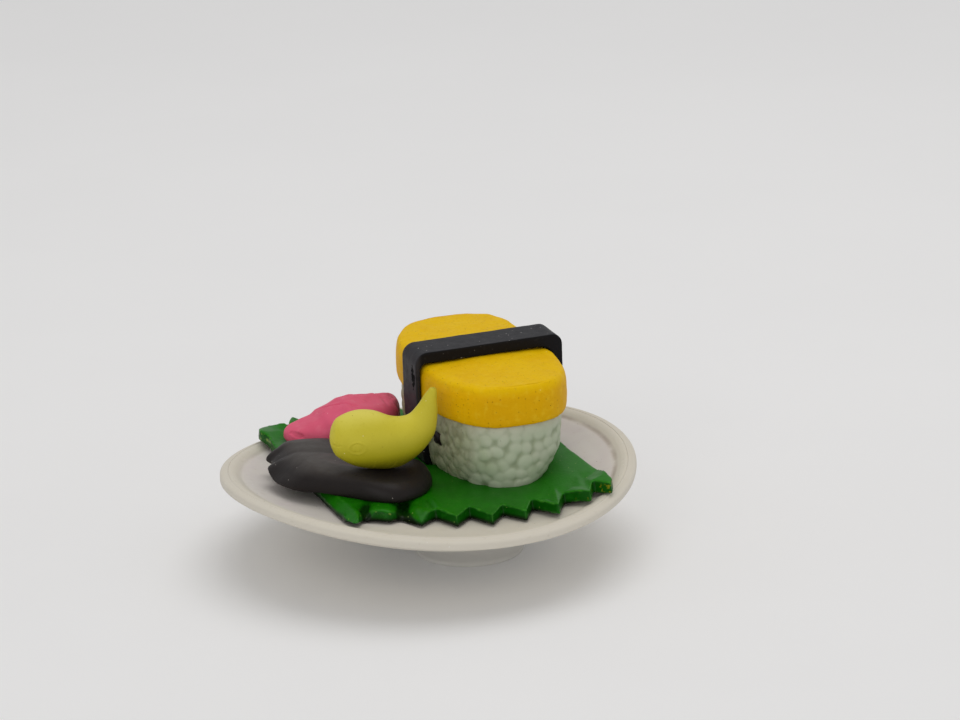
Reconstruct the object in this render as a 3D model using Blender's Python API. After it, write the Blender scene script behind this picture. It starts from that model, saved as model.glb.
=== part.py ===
"""Egg sushi: a small painted plastic egg sushi fixed on a round footed dish with its garnish.

Metres, +Z up. X runs along the leaf's toothed edges, Y along the sushi, and the dish's axis is the origin.
Each piece is one closed body under its own name."""

import math

import bmesh
import bpy

MM = 0.001

# the dish: a round plate, its rim gently bowed up along one diameter
DISH_R = 35.0
SEG = 72
BOW = 3.3
BOW_TURN = math.radians(12.7)
FOOT_X, FOOT_Y = 6.1, -2.2
# radius, height, share of the bow, share of the foot's offset
DISH_RINGS = (
    (11.0, 12.66, 1, 0),
    (20.0, 12.66, 1, 0),
    (27.5, 12.68, 1, 0),
    (30.2, 12.92, 1, 0),
    (31.1, 13.02, 1, 0),
    (31.4, 12.94, 1, 0),
    (31.65, 13.36, 1, 0),
    (32.2, 13.60, 1, 0),
    (33.2, 13.62, 1, 0),
    (34.3, 13.42, 1, 0),
    (34.85, 13.18, 1, 0),
    (35.0, 12.90, 1, 0),
    (34.9, 12.10, 1, 0),
    (34.5, 11.75, 1, 0),
    (30.5, 10.30, 0.90, 0.1),
    (25.0, 8.50, 0.75, 0.3),
    (16.8, 5.60, 0.35, 0.75),
    (12.2, 3.30, 0.08, 1),
    (10.1, 1.70, 0, 1),
    (9.3, 0.85, 0, 1),
    (9.15, 0.20, 0, 1),
    (8.9, 0.0, 0, 1),
    (7.5, 0.0, 0, 1),
    (7.3, 0.2, 0, 1),
    (7.1, 1.2, 0, 1),
)
DISH_TOP_Z = 12.66
DISH_RECESS_Z = 1.25

# the leaf: a thick square sheet, toothed along its front and back edges
LEAF_UNDER = 13.0
LEAF_TOP = 15.12
LEAF_FRONT = (
    (-21.9, -20.4), (-21.5, -23.6), (-20.6, -23.3), (-18.5, -19.4), (-16.6, -19.7), (-14.3, -21.0), (-12.2, -19.7),
    (-10.0, -24.1), (-6.5, -20.9), (-4.4, -25.7), (-0.95, -22.1), (1.3, -27.0), (4.4, -23.2), (7.05, -27.4),
    (9.7, -22.9), (12.0, -29.1), (15.2, -23.1), (18.6, -26.7), (20.6, -22.7), (22.9, -25.5), (23.8, -23.6),
)
LEAF_BACK = (
    (-21.9, 25.2), (-21.3, 27.4), (-19.6, 28.6), (-17.4, 28.2), (-15.9, 26.6), (-14.0, 30.2), (-10.6, 26.2),
    (-7.2, 30.0), (-3.9, 25.8), (-0.6, 29.9), (2.6, 25.4), (5.6, 29.5), (8.8, 25.2), (11.6, 28.8),
    (14.6, 24.6), (17.4, 27.2), (20.2, 23.4), (22.8, 24.4), (23.8, 22.0),
)
LEAF_TAPER = 0.0012
LIFT = 0.98
LIFT_FROM, LIFT_TO = 28.5, 31.2
DROOP = 0.35

# the sushi: rice, egg and band share this centre
SUSHI_X, SUSHI_Y = 11.1, 3.3
GAP = 0.32
RICE_N = 2.9
NARROW = 0.0026
# half width, half length, height, sideways lean
RICE_RINGS = (
    (8.6, 19.2, 15.44, -1.3),
    (9.5, 19.9, 16.30, -1.1),
    (10.1, 20.1, 18.00, -0.7),
    (10.7, 20.1, 20.60, -0.3),
    (10.95, 20.0, 22.80, -0.1),
    (10.9, 19.8, 24.60, 0.0),
    (10.5, 19.4, 25.45, 0.0),
    (9.7, 18.6, 25.70, 0.0),
)
EGG_Y = 3.8
EGG_N = 2.7
EGG_SQUARE = 1.6  # how much squarer its back right corner is
EGG_RINGS = (
    (11.2, 20.6, 26.03),
    (11.75, 21.1, 26.40),
    (11.9, 21.25, 27.60),
    (11.9, 21.2, 30.20),
    (11.75, 21.1, 31.50),
    (11.35, 20.9, 32.30),
    (10.6, 20.5, 32.72),
    (9.2, 19.4, 32.88),
    (5.0, 12.0, 32.96),
)
EGG_CROWN = 33.0
BAND_Y = 3.1
BAND_HALF = 3.36
BAND_TOP = 35.05
BAND_UNDER = 33.36
# outer and inner corner radius, left and right
CORNER_LEFT = (2.2, 1.3)
CORNER_RIGHT = (2.6, 2.6)
# outer and inner reach from the sushi's centre, height, from the top corner down
BAND_LEFT = (
    (12.88, 12.25, 30.0),
    (12.88, 12.25, 26.2),
    (12.80, 11.52, 24.2),
    (12.60, 11.46, 20.6),
    (12.25, 11.32, 18.0),
    (11.95, 11.12, 16.4),
    (11.60, 10.70, 15.6),
)
BAND_RIGHT = (
    (13.45, 12.30, 30.0),
    (13.40, 12.30, 26.2),
    (13.00, 11.44, 24.2),
    (12.10, 10.98, 20.6),
    (11.10, 10.02, 18.0),
    (10.30, 9.20, 16.4),
    (9.70, 8.40, 15.6),
)

# the soft garnish
GINGER = (
    (-18.6, 19.5), (-18.0, 22.0), (-15.6, 23.4), (-12.0, 24.0), (-8.0, 24.6), (-4.0, 25.2), (-0.2, 24.8), (2.2, 22.8),
    (2.4, 20.2), (0.9, 17.0), (-2.2, 14.0), (-6.5, 12.9), (-11.0, 13.3), (-14.6, 14.6), (-17.4, 16.8),
)
GINGER_TOP = (
    (-18.6, 3.4), (-16.0, 3.5), (-13.5, 4.5), (-12.0, 5.2), (-10.0, 5.95), (-8.5, 6.6), (-6.5, 6.65), (-4.7, 6.5),
    (-2.8, 6.35), (0.0, 6.7), (2.5, 6.9),
)
SLICE_FRONT = (
    (-27.1, 1.2), (-26.9, -3.8), (-25.4, -7.3), (-22.2, -9.7), (-18.9, -12.7), (-15.5, -15.8), (-12.0, -17.3),
    (-8.5, -17.0), (-5.2, -15.2), (-3.2, -12.2), (-2.6, -8.7), (-3.8, -5.4), (-8.0, -2.2), (-14.0, 0.8),
    (-19.0, 3.3), (-22.6, 4.6), (-25.8, 3.8),
)
SLICE_BACK = (
    (-26.1, 6.8), (-24.8, 9.6), (-21.5, 11.3), (-17.0, 11.6), (-12.0, 10.2), (-7.2, 6.8), (-4.4, 2.0), (-4.4, -2.0),
    (-9.0, -3.2), (-16.0, -2.6), (-22.5, -0.4), (-25.6, 3.0),
)
# scale of the outline, share of the height
MOUND = (
    (0.86, 0.0), (0.95, 0.10), (1.0, 0.32), (0.985, 0.52), (0.93, 0.70), (0.82, 0.84), (0.64, 0.93), (0.38, 0.985),
)
ROUND_SEG = 40

# the comma-shaped garnish: its upper and lower outline in its own plane, x and z of each
COMMA_Y = -10.3
COMMA_DEPTH = 0.68
COMMA = (
    (-20.43, 27.14, -20.63, 25.25), (-19.84, 28.79, -20.26, 24.21), (-18.63, 29.77, -19.39, 22.68),
    (-17.22, 30.25, -18.04, 21.67), (-15.82, 30.39, -16.20, 20.69), (-14.20, 30.25, -13.90, 20.09),
    (-12.82, 29.87, -11.58, 19.62), (-11.22, 29.11, -9.47, 19.53), (-9.60, 28.46, -8.28, 19.82),
    (-7.97, 28.22, -6.85, 20.53), (-6.79, 28.34, -5.17, 21.45), (-5.84, 28.77, -3.72, 22.51),
    (-5.11, 29.59, -2.60, 24.32), (-4.37, 30.52, -1.95, 26.00), (-3.91, 31.27, -1.83, 27.70),
    (-3.44, 31.90, -1.75, 29.78), (-3.02, 32.36, -1.73, 31.12), (-2.72, 32.52, -1.73, 32.13),
)
COMMA_START = (-20.75, 26.2)
COMMA_END = (-2.12, 32.52)
COMMA_SEG = 24

COLOURS = {
    "dish": (0.55, 0.53, 0.47),
    "leaf": (0.02, 0.14, 0.02),
    "rice": (0.50, 0.55, 0.42),
    "egg": (0.72, 0.42, 0.01),
    "nori_band": (0.015, 0.015, 0.017),
    "ginger": (0.55, 0.08, 0.15),
    "dark_slices": (0.035, 0.028, 0.027),
    "comma_garnish": (0.45, 0.42, 0.05),
}


def bow(x, y):
    u = (x * math.cos(BOW_TURN) + y * math.sin(BOW_TURN)) / DISH_R
    return BOW * u * u


def ease(t):
    t = min(max(t, 0.0), 1.0)
    return t * t * (3 - 2 * t)


def lift(x, y):
    return LIFT * ease((math.hypot(x, y) - LIFT_FROM) / (LIFT_TO - LIFT_FROM))


def leaf_under(x, y):
    return LEAF_UNDER + bow(x, y) + lift(x, y)


def leaf_top(x, y):
    return LEAF_TOP + bow(x, y) + lift(x, y) - DROOP * ease((abs(y) - 21.0) / 6.0)


def part(name, verts, faces):
    mesh = bpy.data.meshes.new(name)
    mesh.from_pydata([tuple(c * MM for c in v) for v in verts], [], faces)
    bm = bmesh.new()
    bm.from_mesh(mesh)
    bmesh.ops.recalc_face_normals(bm, faces=bm.faces)
    bm.to_mesh(mesh)
    bm.free()
    obj = bpy.data.objects.new(name, mesh)
    bpy.context.scene.collection.objects.link(obj)
    mat = bpy.data.materials.new(name)
    mat.use_nodes = True
    mat.node_tree.nodes["Principled BSDF"].inputs["Base Color"].default_value = (*COLOURS[name], 1.0)
    mesh.materials.append(mat)
    return obj


def loft(rings, start, end):
    """Closed body from equal rings of points, a fan at each end."""
    n = len(rings[0])
    verts = [p for ring in rings for p in ring]
    faces = []
    for k in range(len(rings) - 1):
        for i in range(n):
            j = (i + 1) % n
            faces.append((k * n + i, k * n + j, (k + 1) * n + j, (k + 1) * n + i))
    a = len(verts)
    verts += [start, end]
    last = (len(rings) - 1) * n
    for i in range(n):
        j = (i + 1) % n
        faces.append((a, j, i))
        faces.append((a + 1, last + i, last + j))
    return verts, faces


def superellipse(cx, cy, a, b, n, count, square=0.0):
    points = []
    for i in range(count):
        t = 2 * math.pi * (i + 0.5) / count
        c, s = math.cos(t), math.sin(t)
        m = n + square * (2 * c * s if c > 0 and s > 0 else 0.0)
        x, y = a * math.copysign(abs(c) ** (2 / m), c), b * math.copysign(abs(s) ** (2 / m), s)
        points.append((cx + x * (1 - NARROW * max(y, 0.0)), cy + y))
    return points


def smooth_outline(points, count):
    """Evenly spaced points on a closed Catmull-Rom curve, anticlockwise."""
    n = len(points)
    dense = []
    for i in range(n):
        p0, p1, p2, p3 = (points[(i + k) % n] for k in (-1, 0, 1, 2))
        for s in range(12):
            t = s / 12
            dense.append(
                tuple(
                    0.5
                    * (2 * b + (c - a) * t + (2 * a - 5 * b + 4 * c - d) * t * t + (3 * b - 3 * c + d - a) * t**3)
                    for a, b, c, d in zip(p0, p1, p2, p3)
                )
            )
    area = sum(p[0] * q[1] - q[0] * p[1] for p, q in zip(dense, dense[1:] + dense[:1]))
    if area < 0:
        dense.reverse()
    ends = dense[1:] + dense[:1]
    steps = [math.dist(p, q) for p, q in zip(dense, ends)]
    total = sum(steps)
    out, k, walked = [], 0, 0.0
    for i in range(count):
        want = total * i / count
        while walked + steps[k] < want:
            walked += steps[k]
            k += 1
        f = (want - walked) / steps[k]
        out.append(tuple(a + (b - a) * f for a, b in zip(dense[k], ends[k])))
    return out


def mound(name, points, centre, height, ground):
    """A soft pad on the ground surface: outline scaled about its centre, rising to the given height."""
    outline = smooth_outline(points, ROUND_SEG)
    cx, cy = centre
    rings = []
    for scale, share in MOUND:
        ring = []
        for x, y in outline:
            px, py = cx + (x - cx) * scale, cy + (y - cy) * scale
            ring.append((px, py, ground(px, py) + GAP + share * height(px, py)))
        rings.append(ring)
    start = (cx, cy, ground(cx, cy) + GAP)
    end = (cx, cy, ground(cx, cy) + GAP + height(cx, cy))
    return part(name, *loft(rings, start, end))


def build_dish():
    rings = []
    for r, z, share, shift in DISH_RINGS:
        ring = []
        for i in range(SEG):
            t = 2 * math.pi * i / SEG
            x, y = r * math.cos(t), r * math.sin(t)
            ring.append((x + FOOT_X * shift, y + FOOT_Y * shift, z + share * bow(x, y)))
        rings.append(ring)
    verts, faces = loft(rings, (0, 0, DISH_TOP_Z), (FOOT_X, FOOT_Y, DISH_RECESS_Z))
    return part("dish", verts, [f[::-1] for f in faces])


def along(points, x):
    for (xa, ya), (xb, yb) in zip(points, points[1:]):
        if x <= xb:
            return ya + (yb - ya) * (x - xa) / (xb - xa)
    return points[-1][1]


def build_leaf():
    xs = sorted({x for x, _ in LEAF_FRONT} | {x for x, _ in LEAF_BACK})
    kept = [xs[0]]
    for x in xs[1:]:
        if x - kept[-1] > 0.25:
            kept.append(x)
    kept[-1] = xs[-1]
    shares = [0, 0.07, 0.14, 0.3, 0.5, 0.7, 0.86, 0.93, 1.0]
    top, under = [], []
    for x in kept:
        a, b = along(LEAF_FRONT, x), along(LEAF_BACK, x)
        for s in shares:
            y = a + (b - a) * s
            px = x * (1 - LEAF_TAPER * (y + 21))
            top.append((px, y, leaf_top(px, y)))
            under.append((px, y, leaf_under(px, y)))
    n, m = len(kept), len(shares)
    base = n * m
    faces = []
    for i in range(n - 1):
        for j in range(m - 1):
            q = (i * m + j, (i + 1) * m + j, (i + 1) * m + j + 1, i * m + j + 1)
            faces.append(q)
            faces.append(tuple(base + k for k in q[::-1]))
    edge = [i * m for i in range(n)]
    edge += [(n - 1) * m + j for j in range(1, m)]
    edge += [i * m + m - 1 for i in range(n - 2, -1, -1)]
    edge += [j for j in range(m - 2, 0, -1)]
    for a, b in zip(edge, edge[1:] + edge[:1]):
        faces.append((b, a, base + a, base + b))
    return part("leaf", top + under, faces)


def build_rice():
    rings = []
    for a, b, z, lean in RICE_RINGS:
        ring = []
        for x, y in superellipse(SUSHI_X + lean, SUSHI_Y, a, b, RICE_N, 56):
            low = leaf_top(x, y) + GAP
            rise = (z - RICE_RINGS[0][2]) / (RICE_RINGS[3][2] - RICE_RINGS[0][2])
            ring.append((x, y, z if rise >= 1 else low + (RICE_RINGS[3][2] - low) * max(rise, 0)))
        rings.append(ring)
    start = (SUSHI_X, SUSHI_Y, leaf_top(SUSHI_X, SUSHI_Y) + GAP)
    return part("rice", *loft(rings, start, (SUSHI_X, SUSHI_Y, RICE_RINGS[-1][2])))


def build_egg():
    rings = [
        [(x, y, z) for x, y in superellipse(SUSHI_X, EGG_Y, a, b, EGG_N, 56, EGG_SQUARE)] for a, b, z in EGG_RINGS
    ]
    return part("egg", *loft(rings, (SUSHI_X, EGG_Y, EGG_RINGS[0][2]), (SUSHI_X, EGG_Y, EGG_CROWN)))


def build_band():
    outer = [(-o, z) for o, i, z in reversed(BAND_LEFT)]
    inner = [(-i, z) for o, i, z in reversed(BAND_LEFT)]
    for side, (out, into, _), (big, small) in ((-1, BAND_LEFT[0], CORNER_LEFT), (1, BAND_RIGHT[0], CORNER_RIGHT)):
        for k in range(6) if side < 0 else range(5, -1, -1):
            t = math.radians(18 * k)
            outer.append((side * (out - big * (1 - math.cos(t))), BAND_TOP - big * (1 - math.sin(t))))
            inner.append((side * (into - small * (1 - math.cos(t))), BAND_UNDER - small * (1 - math.sin(t))))
    outer += [(o, z) for o, i, z in BAND_RIGHT]
    inner += [(i, z) for o, i, z in BAND_RIGHT]
    n = len(outer)
    verts = []
    for side in (-1, 1):
        y = BAND_Y + side * BAND_HALF
        for line in (outer, inner):
            for k, (x, z) in enumerate(line):
                if k in (0, n - 1):
                    z = leaf_top(SUSHI_X + x, y) + GAP
                verts.append((SUSHI_X + x, y, z))
    faces = []
    fo, fi, bo, bi = 0, n, 2 * n, 3 * n
    for k in range(n - 1):
        faces.append((fo + k, fi + k, fi + k + 1, fo + k + 1))
        faces.append((bo + k, bo + k + 1, bi + k + 1, bi + k))
        faces.append((fo + k, fo + k + 1, bo + k + 1, bo + k))
        faces.append((fi + k, bi + k, bi + k + 1, fi + k + 1))
    faces.append((fo, bo, bi, fi))
    faces.append((fo + n - 1, fi + n - 1, bi + n - 1, bo + n - 1))
    return part("nori_band", verts, faces)


def build_slices():
    def ground(x, y):
        return leaf_top(min(max(x, -22.0), 24.0), min(max(y, -20.0), 20.0)) + 0.02 * min(x + 22.0, 0.0)

    def front(x, y):
        return 3.3 + 0.35 * ease((-12.0 - x) / 9.0) - 0.5 * ease((-23.5 - x) / 4.0)

    def back(x, y):
        return 3.0 + 1.0 * ease((-8.0 - x) / 8.0) - 0.5 * ease((-23.5 - x) / 4.0)

    body = mound("dark_slices", SLICE_FRONT, (-15.0, -6.5), front, ground)
    other = mound("dark_slices", SLICE_BACK, (-15.8, 4.4), back, ground)
    mod = body.modifiers.new("join", "BOOLEAN")
    mod.operation = "UNION"
    mod.solver = "EXACT"
    mod.object = other
    graph = bpy.context.evaluated_depsgraph_get()
    joined = bpy.data.meshes.new_from_object(body.evaluated_get(graph))
    body.modifiers.clear()
    body.data = joined
    bpy.data.objects.remove(other)
    body.name = "dark_slices"
    return body


def build_ginger():
    def height(x, y):
        return along(GINGER_TOP, max(x, GINGER_TOP[0][0])) + 0.15 * math.sin(0.9 * y - 0.35 * x)

    return mound("ginger", GINGER, (-8.0, 18.9), height, leaf_top)


def build_comma():
    rings = []
    for ux, uz, lx, lz in COMMA:
        half = math.hypot(ux - lx, uz - lz) / 2
        depth = half * (COMMA_DEPTH + 0.2 * max(0.0, (2.4 - half) / 2.4))
        ring = []
        for i in range(COMMA_SEG):
            t = 2 * math.pi * i / COMMA_SEG
            c, s = math.cos(t), math.sin(t)
            ring.append(((ux + lx) / 2 + (ux - lx) / 2 * c, COMMA_Y + depth * s, (uz + lz) / 2 + (uz - lz) / 2 * c))
        rings.append(ring)
    start = (COMMA_START[0], COMMA_Y, COMMA_START[1])
    end = (COMMA_END[0], COMMA_Y, COMMA_END[1])
    return part("comma_garnish", *loft(rings, start, end))


for obj in list(bpy.data.objects):
    bpy.data.objects.remove(obj)
build_dish()
build_leaf()
build_rice()
build_egg()
build_band()
build_ginger()
build_slices()
build_comma()
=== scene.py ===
"""Egg sushi on its dish: a small painted soft-plastic toy, built piece by piece as it is put together.

Sizes in the sections are in millimetres, in the frame of the CAD model: X across the leaf, Y along the
sushi, Z up."""

import math

import bmesh
import bpy
from mathutils import Matrix, Vector, noise
from mathutils.bvhtree import BVHTree


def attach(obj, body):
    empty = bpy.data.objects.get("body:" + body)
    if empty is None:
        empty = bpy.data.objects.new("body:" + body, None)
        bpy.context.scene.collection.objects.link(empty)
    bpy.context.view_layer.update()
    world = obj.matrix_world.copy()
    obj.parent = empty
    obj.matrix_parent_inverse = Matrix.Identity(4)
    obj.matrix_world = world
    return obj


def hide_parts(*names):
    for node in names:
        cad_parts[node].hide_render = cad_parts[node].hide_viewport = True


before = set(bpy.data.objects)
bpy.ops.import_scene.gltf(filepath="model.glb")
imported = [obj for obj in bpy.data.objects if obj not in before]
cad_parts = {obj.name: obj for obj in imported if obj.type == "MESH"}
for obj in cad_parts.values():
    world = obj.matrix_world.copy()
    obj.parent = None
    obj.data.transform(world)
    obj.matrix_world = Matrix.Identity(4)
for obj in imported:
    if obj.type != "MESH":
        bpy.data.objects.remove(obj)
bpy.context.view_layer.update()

# --------------------------------------------------------------------------------------
# The dish: one round plate of cream soft plastic, cast with a raised rim, a groove inside the rim and a small
# ring foot. It came out of its mould a little bowed, so two sides of the rim stand up. Grey-pink painted
# shade lies in the well and a thin brown wash in the groove, and painted light makes the underside and foot
# lighter and greyer.

MM = 0.001
DISH_R = 35.0
BOW = 3.3  # how far the rim rises along its bowed diameter
BOW_TURN = math.radians(12.7)
FOOT_X, FOOT_Y = 6.1, -2.2  # the foot sits off the plate's middle
WELL_R, GROOVE_R, RIM_R = 30.4, 31.4, 32.3  # where the well ends, the groove runs and the rim starts
# radius, height, share of the bow, share of the foot's offset
DISH_PROFILE = (
    (0.0, 12.66, 1, 0), (11.0, 12.66, 1, 0), (20.0, 12.66, 1, 0), (27.5, 12.68, 1, 0), (30.2, 12.93, 1, 0),
    (31.0, 13.0, 1, 0), (31.45, 13.06, 1, 0), (31.95, 13.3, 1, 0), (32.5, 13.52, 1, 0), (33.1, 13.60, 1, 0),
    (33.5, 13.53, 1, 0), (33.62, 13.6, 1, 0), (33.78, 13.48, 1, 0), (34.5, 13.27, 1, 0), (34.88, 12.98, 1, 0),
    (35.0, 12.60, 1, 0), (34.93, 12.00, 1, 0), (34.5, 11.72, 1, 0), (30.5, 10.30, 0.90, 0.1),
    (25.0, 8.50, 0.75, 0.3), (16.8, 5.60, 0.35, 0.75), (12.2, 3.30, 0.08, 1), (10.1, 1.70, 0, 1),
    (9.3, 0.85, 0, 1), (9.15, 0.20, 0, 1), (8.9, 0.0, 0, 1), (7.5, 0.0, 0, 1), (7.3, 0.2, 0, 1),
    (7.1, 1.2, 0, 1), (0.0, 1.25, 0, 1),
)
DISH_SEG = 200
SMALLEST_RING = 0.05  # the rings stop here, and a fan closes the middle


def bow(x, y):
    """How far the bowed plate has risen at a place."""
    u = (x * math.cos(BOW_TURN) + y * math.sin(BOW_TURN)) / DISH_R
    return BOW * u * u


def ease(t):
    """0 to 1 with soft ends, and level beyond them."""
    t = min(max(t, 0.0), 1.0)
    return t * t * (3 - 2 * t)


def curve_through(points, steps, closed=False):
    """Points on a smooth curve through the given ones, with steps of them to each span."""
    n = len(points)
    out = []
    for i in range(n if closed else n - 1):
        if closed:
            p0, p1, p2, p3 = (points[(i + k) % n] for k in (-1, 0, 1, 2))
        else:
            p0, p1, p2, p3 = (points[min(max(i + k, 0), n - 1)] for k in (-1, 0, 1, 2))
        for s in range(steps):
            t = s / steps
            out.append(tuple(
                0.5 * (2 * b + (c - a) * t + (2 * a - 5 * b + 4 * c - d) * t * t
                       + (3 * b - 3 * c + d - a) * t ** 3)
                for a, b, c, d in zip(p0, p1, p2, p3)
            ))
    return out if closed else out + [tuple(points[-1])]


def placed(name, data):
    """A new object in the scene."""
    obj = bpy.data.objects.new(name, data)
    bpy.context.scene.collection.objects.link(obj)
    return obj


def body(name, verts, faces):
    """A closed smooth body of points in millimetres, its faces turned outward."""
    mesh = bpy.data.meshes.new(name)
    mesh.from_pydata([(x * MM, y * MM, z * MM) for x, y, z in verts], [], faces)
    bm = bmesh.new()
    bm.from_mesh(mesh)
    bmesh.ops.recalc_face_normals(bm, faces=bm.faces)
    bm.to_mesh(mesh)
    bm.free()
    mesh.shade_smooth()
    return placed(name, mesh)


def lofted(name, rings, start, end):
    """A body skinned over equal rings of points, closed with a fan at each end."""
    n = len(rings[0])
    verts = [p for ring in rings for p in ring] + [start, end]
    a, last = len(verts) - 2, (len(rings) - 1) * n
    faces = []
    for i in range(n):
        j = (i + 1) % n
        faces += [(k * n + i, k * n + j, (k + 1) * n + j, (k + 1) * n + i) for k in range(len(rings) - 1)]
        faces += [(a, j, i), (a + 1, last + i, last + j)]
    return body(name, verts, faces)


def moved(obj, rule):
    """Every point of the body goes where the rule sends it, in millimetres."""
    for v in obj.data.vertices:
        v.co = Vector(rule(*(v.co / MM))) * MM
    obj.data.update()


def swelled(obj, rule):
    """Every point goes out along its own normal by what the rule says, in millimetres."""
    outward = [v.normal.copy() for v in obj.data.vertices]
    for v, n in zip(obj.data.vertices, outward):
        v.co += n * (rule(*(v.co / MM)) * MM)
    obj.data.update()


def ripple(x, y, z, size, seed=0.0):
    """Smooth unevenness from -1 to 1, its bumps about size millimetres across."""
    return noise.noise(Vector((x / size + seed, y / size - seed, z / size + 2 * seed)))


def rgb(red, green, blue):
    """A paint colour given as it looks on a screen, 0 to 255, made linear."""
    return tuple(
        (c / 255 / 12.92 if c < 10.3 else ((c / 255 + 0.055) / 1.055) ** 2.4) for c in (red, green, blue)
    )


def tree_node(tree, kind, inputs=None, **settings):
    """A node in a tree, its inputs set to values or joined to other nodes' outputs."""
    node = tree.nodes.new(kind)
    for key, value in settings.items():
        setattr(node, key, value)
    for key, value in (inputs or {}).items():
        if isinstance(value, bpy.types.NodeSocket):
            tree.links.new(value, node.inputs[key])
        elif value is not None:
            node.inputs[key].default_value = value
    return node


class Paint:
    """A painted finish, laid on coat by coat."""

    def __init__(self, name, colour, roughness, specular=0.25):
        self.material = bpy.data.materials.new(name)
        self.material.use_nodes = True
        self.tree = self.material.node_tree
        self.shader = self.tree.nodes["Principled BSDF"]
        self.shader.inputs["Specular IOR Level"].default_value = specular
        self.shader.inputs["Roughness"].default_value = roughness
        self.place = self.node("ShaderNodeTexCoord").outputs["Object"]
        self.colour = (*colour, 1.0)
        self.normal = None
        self.roughness = roughness

    def node(self, kind, inputs=None, **settings):
        """A node of this paint."""
        return tree_node(self.tree, kind, inputs, **settings)

    def maths(self, operation, *values):
        """What one maths operation makes of the values."""
        return self.node("ShaderNodeMath", dict(enumerate(values)), operation=operation).outputs[0]

    def overlap(self, first, *others):
        """A mask of where all of these masks are."""
        for mask in others:
            first = self.maths("MULTIPLY", first, mask)
        return first

    def between(self, value, low, high, out_low=0.0, out_high=1.0):
        """value's range from low to high, eased into 0 to 1 or the range given."""
        return self.node(
            "ShaderNodeMapRange",
            {"Value": value, "From Min": low, "From Max": high, "To Min": out_low, "To Max": out_high},
            interpolation_type="SMOOTHSTEP",
        ).outputs["Result"]

    def fade(self, place, start, full):
        """A mask that grows from nothing to full between two places, given in millimetres."""
        return self.between(place, start * MM, full * MM)

    def clouds(self, size, detail=3.0, shift=0.0):
        """Soft noise with features about size millimetres across."""
        moved_by = (shift * MM, 0, shift * MM)
        place = self.node("ShaderNodeMapping", {"Vector": self.place, "Location": moved_by})
        return self.node(
            "ShaderNodeTexNoise",
            {"Vector": place.outputs[0], "Scale": 1 / (size * MM), "Detail": detail, "Roughness": 0.55},
        ).outputs["Fac"]

    def patches(self, size, low, high, shift=0.0):
        """A mask of the clouds of this size, from the low level to the high one."""
        return self.between(self.clouds(size, shift=shift), low, high)

    def dots(self, spacing, radius, share, shift=0.0):
        """A mask of scattered round dots: one to a cell of that spacing, in that share of the cells."""
        moved_by = (shift * MM, shift * MM, 0)
        place = self.node("ShaderNodeMapping", {"Vector": self.place, "Location": moved_by})
        cells = self.node("ShaderNodeTexVoronoi", {"Vector": place.outputs[0], "Scale": 1 / (spacing * MM)})
        pick = self.node("ShaderNodeSeparateColor", {"Color": cells.outputs["Color"]})
        dot = self.between(cells.outputs["Distance"], radius / spacing * 1.3, radius / spacing * 0.7)
        chosen = self.maths("LESS_THAN", pick.outputs[0], share)
        return self.overlap(dot, chosen)

    def axes(self):
        """The place's three coordinates, in metres."""
        return self.node("ShaderNodeSeparateXYZ", {"Vector": self.place}).outputs

    def facing_up(self):
        """1 where the surface is level, 0 on a wall and below zero underneath."""
        normal = self.node("ShaderNodeNewGeometry").outputs["Normal"]
        return self.node("ShaderNodeSeparateXYZ", {"Vector": normal}).outputs[2]

    def kept(self, name):
        """A number kept at every point of the body."""
        return self.node("ShaderNodeAttribute", attribute_name=name).outputs["Fac"]

    def coat(self, mask, colour, strength=1.0):
        """Paint of this colour where the mask is."""
        amount = mask if strength == 1.0 else self.maths("MULTIPLY", mask, strength)
        mix = self.node("ShaderNodeMix", {0: amount, 6: self.colour, 7: (*colour, 1.0)}, data_type="RGBA")
        self.colour = mix.outputs[2]

    def mottle(self, size, low, high, colour, strength, shift=0.0):
        """Soft patches of this colour."""
        self.coat(self.patches(size, low, high, shift), colour, strength)

    def specks(self, spacing, radius, share, colour, strength, shift=0.0):
        """Scattered specks of this colour."""
        self.coat(self.dots(spacing, radius, share, shift), colour, strength)

    def relief(self, height, depth, strength=1.0):
        """Fine relief too small for the mesh, depth millimetres deep."""
        bump = self.node(
            "ShaderNodeBump",
            {"Height": height, "Distance": depth * MM, "Strength": strength, "Normal": self.normal},
        )
        self.normal = bump.outputs[0]

    def gloss(self, mask, low, high):
        """Roughness that goes from low to high with the mask."""
        self.roughness = self.between(mask, 0.0, 1.0, low, high)

    def on(self, obj):
        """Finishes the paint and puts it on the body."""
        made = {"Base Color": self.colour, "Normal": self.normal, "Roughness": self.roughness}
        for name, value in made.items():
            if isinstance(value, bpy.types.NodeSocket):
                self.tree.links.new(value, self.shader.inputs[name])
        obj.data.materials.clear()
        obj.data.materials.append(self.material)
        for face in obj.data.polygons:
            face.material_index = 0


rings = []
for r, z, share, shift in curve_through(DISH_PROFILE, steps=5)[1:-1]:
    r, z = min(max(r, SMALLEST_RING), DISH_R), max(z, 0.0)
    ring = []
    for i in range(DISH_SEG):
        t = 2 * math.pi * i / DISH_SEG
        x, y = r * math.cos(t), r * math.sin(t)
        ring.append((x + FOOT_X * shift, y + FOOT_Y * shift, z + share * bow(x, y)))
    rings.append(ring)
plate = lofted("plate", rings, (0, 0, DISH_PROFILE[0][1]), (FOOT_X, FOOT_Y, DISH_PROFILE[-1][1]))

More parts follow.
